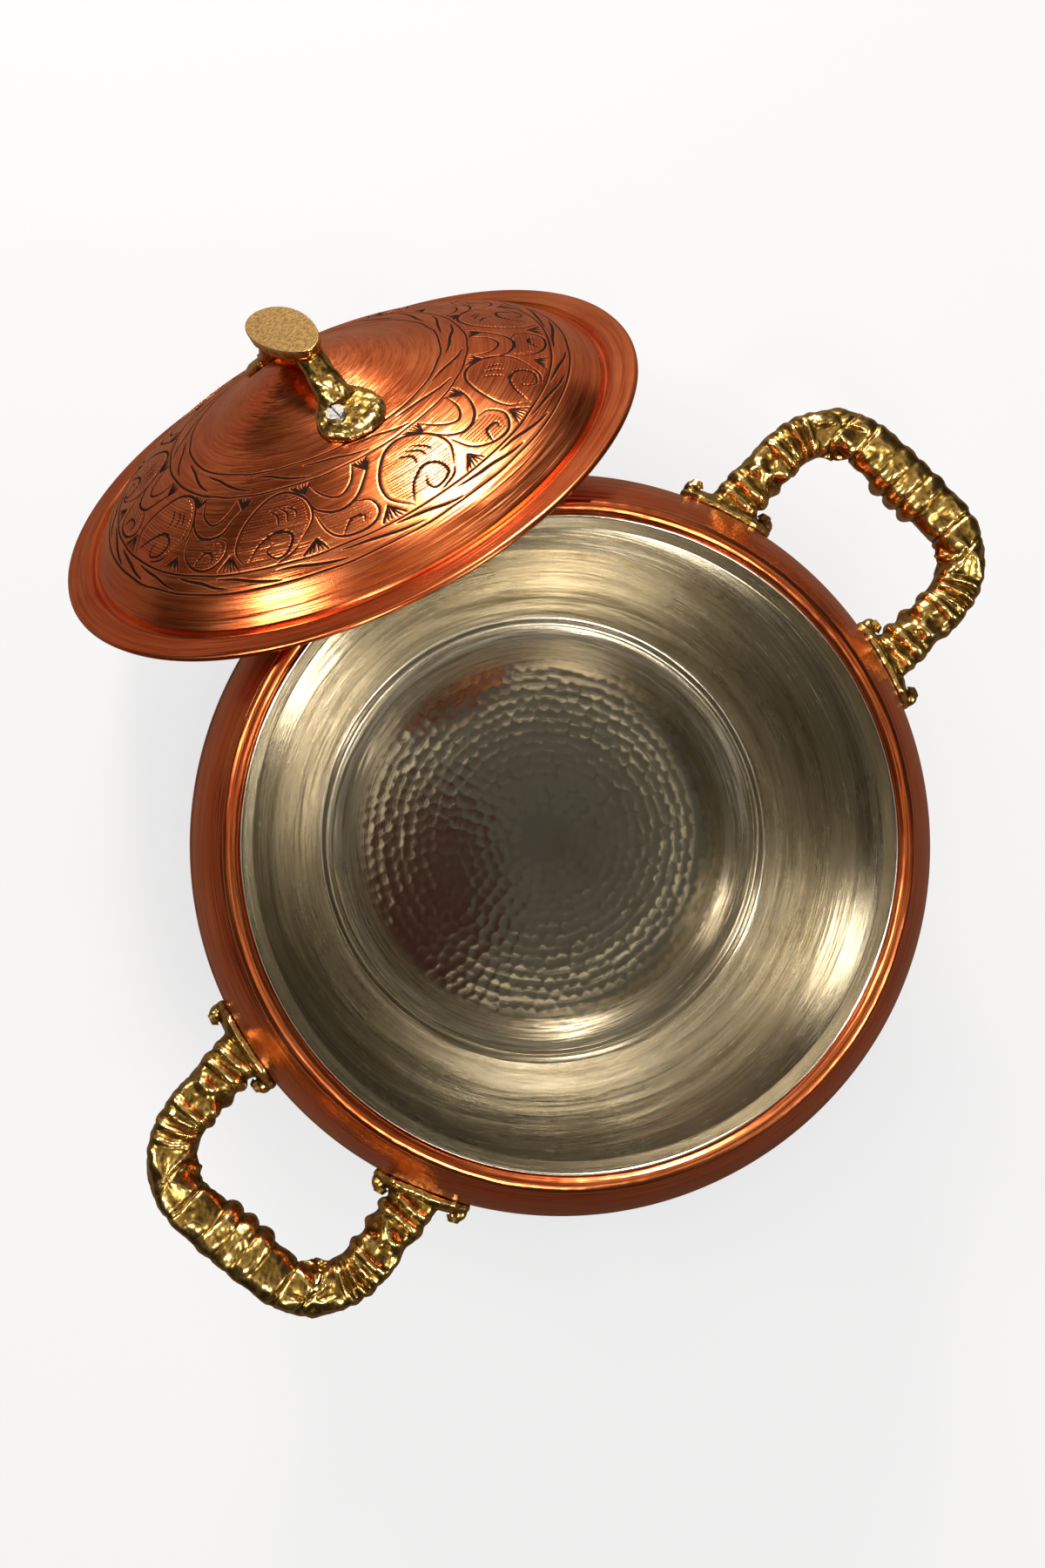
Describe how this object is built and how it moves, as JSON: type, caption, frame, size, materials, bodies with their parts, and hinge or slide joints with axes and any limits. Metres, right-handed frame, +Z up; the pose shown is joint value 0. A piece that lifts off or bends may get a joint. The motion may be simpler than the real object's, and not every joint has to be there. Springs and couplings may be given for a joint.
{
  "type": "copper cooking pot",
  "caption": "Bellied copper cooking pot, tinned inside with a hammered base, two cast brass loop handles, and a domed lid with a brass bridge knob leaning on its rim.",
  "frame": {"origin": "centre of the flat base the pot stands on", "axes": "+Z up along the pot's axis, +X through the right handle, the lid leaning on the +Y side"},
  "size_m": [0.3421, 0.3515, 0.1543],
  "materials": {
    "copper": "brushed copper sheet, engraved, with darkened lines",
    "tin": "hand-wiped tin, warm grey, hammered on the base",
    "cast_brass": "rough sand-cast yellow brass with dark hollows",
    "steel": "plain turned steel"
  },
  "bodies": {
    "pot": {"pot_body": "copper", "pot_tin_lining": "tin", "handle_right": "cast_brass", "handle_left": "cast_brass", "handle_right_rivets": "cast_brass", "handle_left_rivets": "cast_brass"},
    "lid": {"lid_shell": "copper", "lid_tin_lining": "tin", "lid_knob": "cast_brass", "knob_screws": "steel", "knob_washers": "steel", "knob_nuts": "steel"}
  },
  "joints": [
    {"name": "lid_lift", "type": "slide", "parent": "pot", "child": "lid", "axis": [0.2085, 0.6821, 0.7009], "range_m": [0, 0.12]}
  ]
}
